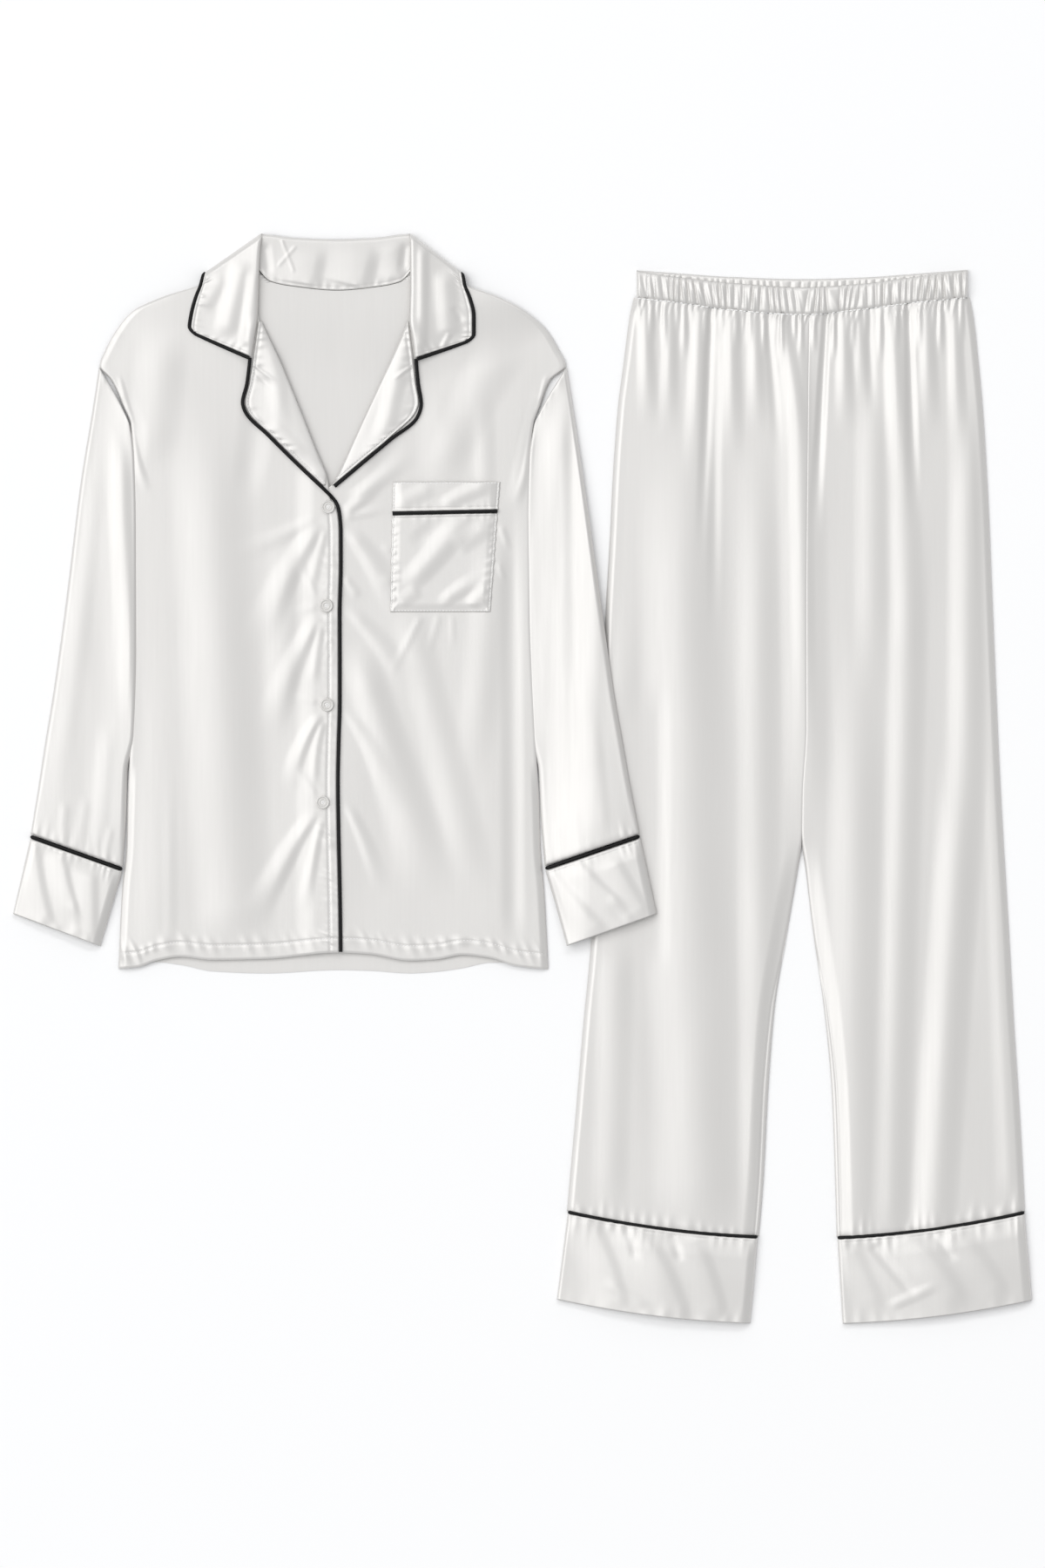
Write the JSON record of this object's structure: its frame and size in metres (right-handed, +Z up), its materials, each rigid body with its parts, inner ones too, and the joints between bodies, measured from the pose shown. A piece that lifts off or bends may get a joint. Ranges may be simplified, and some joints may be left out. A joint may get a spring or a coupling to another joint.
{
  "type": "pyjama set",
  "caption": "Satin pyjama set laid out flat: long-sleeved shirt with a notched collar and chest pocket beside wide elastic-waist trousers, both with contrast piping.",
  "frame": {"origin": "centre of the laid-out set's outline, on the surface it lies on", "axes": "+X from the shirt towards the trousers, +Y towards the shirt's collar and the trousers' waist, +Z up, out of the garments' fronts"},
  "size_m": [0.967, 1.0346, 0.0135],
  "materials": {
    "satin": "white satin",
    "piping": "black satin bias over cord",
    "button": "pearly white"
  },
  "bodies": {
    "root": {"shirt_back": "satin", "shirt_front_right": "satin", "shirt_front_left": "satin", "lapel_right": "satin", "lapel_left": "satin", "collar": "satin", "piping_collar": "piping", "piping_front": "piping", "piping_lapel_left": "piping", "pocket": "satin", "pocket_band": "satin", "piping_pocket": "piping", "button_1": "button", "button_2": "button", "button_3": "button", "button_4": "button", "sleeve_right": "satin", "cuff_right": "satin", "piping_cuff_right": "piping", "sleeve_left": "satin", "cuff_left": "satin", "piping_cuff_left": "piping", "waistband": "satin", "trouser_front_right": "satin", "trouser_back_right": "satin", "leg_band_right": "satin", "piping_leg_right": "piping", "trouser_front_left": "satin", "trouser_back_left": "satin", "leg_band_left": "satin", "piping_leg_left": "piping"}
  },
  "joints": []
}
